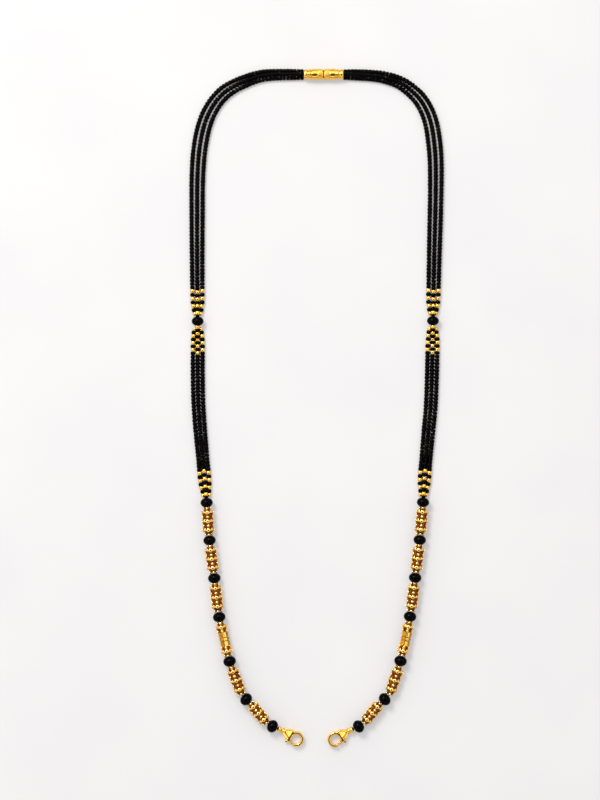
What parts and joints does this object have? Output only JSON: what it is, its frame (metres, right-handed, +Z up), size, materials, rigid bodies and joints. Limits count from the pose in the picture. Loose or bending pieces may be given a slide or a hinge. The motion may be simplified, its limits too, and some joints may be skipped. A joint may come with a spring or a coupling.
{
  "type": "mangalsutra chain",
  "caption": "Open mangalsutra chain of black seed strands, black rondelles and granulated gold tube beads, with a screw barrel clasp and a trigger clasp at each end.",
  "frame": {"origin": "on the table plane under the middle of the necklace's bounding box as it lies", "axes": "+Z up from the table, +Y from the open end towards the barrel clasp, +X to the right in the picture"},
  "size_m": [0.1156, 0.3086, 0.0062],
  "materials": {
    "gold": "polished yellow gold plating",
    "black_glass": "glossy opaque black glass",
    "thread": "waxed black beading thread"
  },
  "bodies": {
    "chain": {"barrel_screw_half": "gold", "barrel_socket_half": "gold", "strand_upper_inner_left": "black_glass", "strand_upper_middle_left": "black_glass", "strand_upper_outer_left": "black_glass", "strand_lower_inner_left": "black_glass", "strand_lower_middle_left": "black_glass", "strand_lower_outer_left": "black_glass", "rondelle_1_left": "black_glass", "rondelle_2_left": "black_glass", "rondelle_3_left": "black_glass", "rondelle_4_left": "black_glass", "rondelle_5_left": "black_glass", "rondelle_6_left": "black_glass", "rondelle_7_left": "black_glass", "rondelle_8_left": "black_glass", "granulated_1_left": "gold", "granulated_2_left": "gold", "granulated_3_left": "gold", "granulated_4_left": "gold", "granulated_5_left": "gold", "plain_middle_1_left": "gold", "thread_left": "thread", "end_ball_left": "gold", "hook_left": "gold", "strand_upper_inner_right": "black_glass", "strand_upper_middle_right": "black_glass", "strand_upper_outer_right": "black_glass", "strand_lower_inner_right": "black_glass", "strand_lower_middle_right": "black_glass", "strand_lower_outer_right": "black_glass", "rondelle_1_right": "black_glass", "rondelle_2_right": "black_glass", "rondelle_3_right": "black_glass", "rondelle_4_right": "black_glass", "rondelle_5_right": "black_glass", "rondelle_6_right": "black_glass", "rondelle_7_right": "black_glass", "rondelle_8_right": "black_glass", "granulated_1_right": "gold", "granulated_2_right": "gold", "granulated_3_right": "gold", "granulated_4_right": "gold", "granulated_5_right": "gold", "plain_middle_1_right": "gold", "thread_right": "thread", "end_ball_right": "gold", "hook_right": "gold"},
    "lever_left": {"lever_left": "gold"},
    "lever_right": {"lever_right": "gold"}
  },
  "joints": [
    {"name": "lever_left_hinge", "type": "hinge", "parent": "chain", "child": "lever_left", "pos_m": [-0.01278, -0.1508, 0.00145], "axis": [0, 0, 1], "range_deg": [0, 25], "stiffness_Nm_per_rad": 0.002, "springref_deg": -11.46},
    {"name": "lever_right_hinge", "type": "hinge", "parent": "chain", "child": "lever_right", "pos_m": [0.01169, -0.15104, 0.00145], "axis": [0, 0, -1], "range_deg": [0, 25], "stiffness_Nm_per_rad": 0.002, "springref_deg": -11.46}
  ]
}
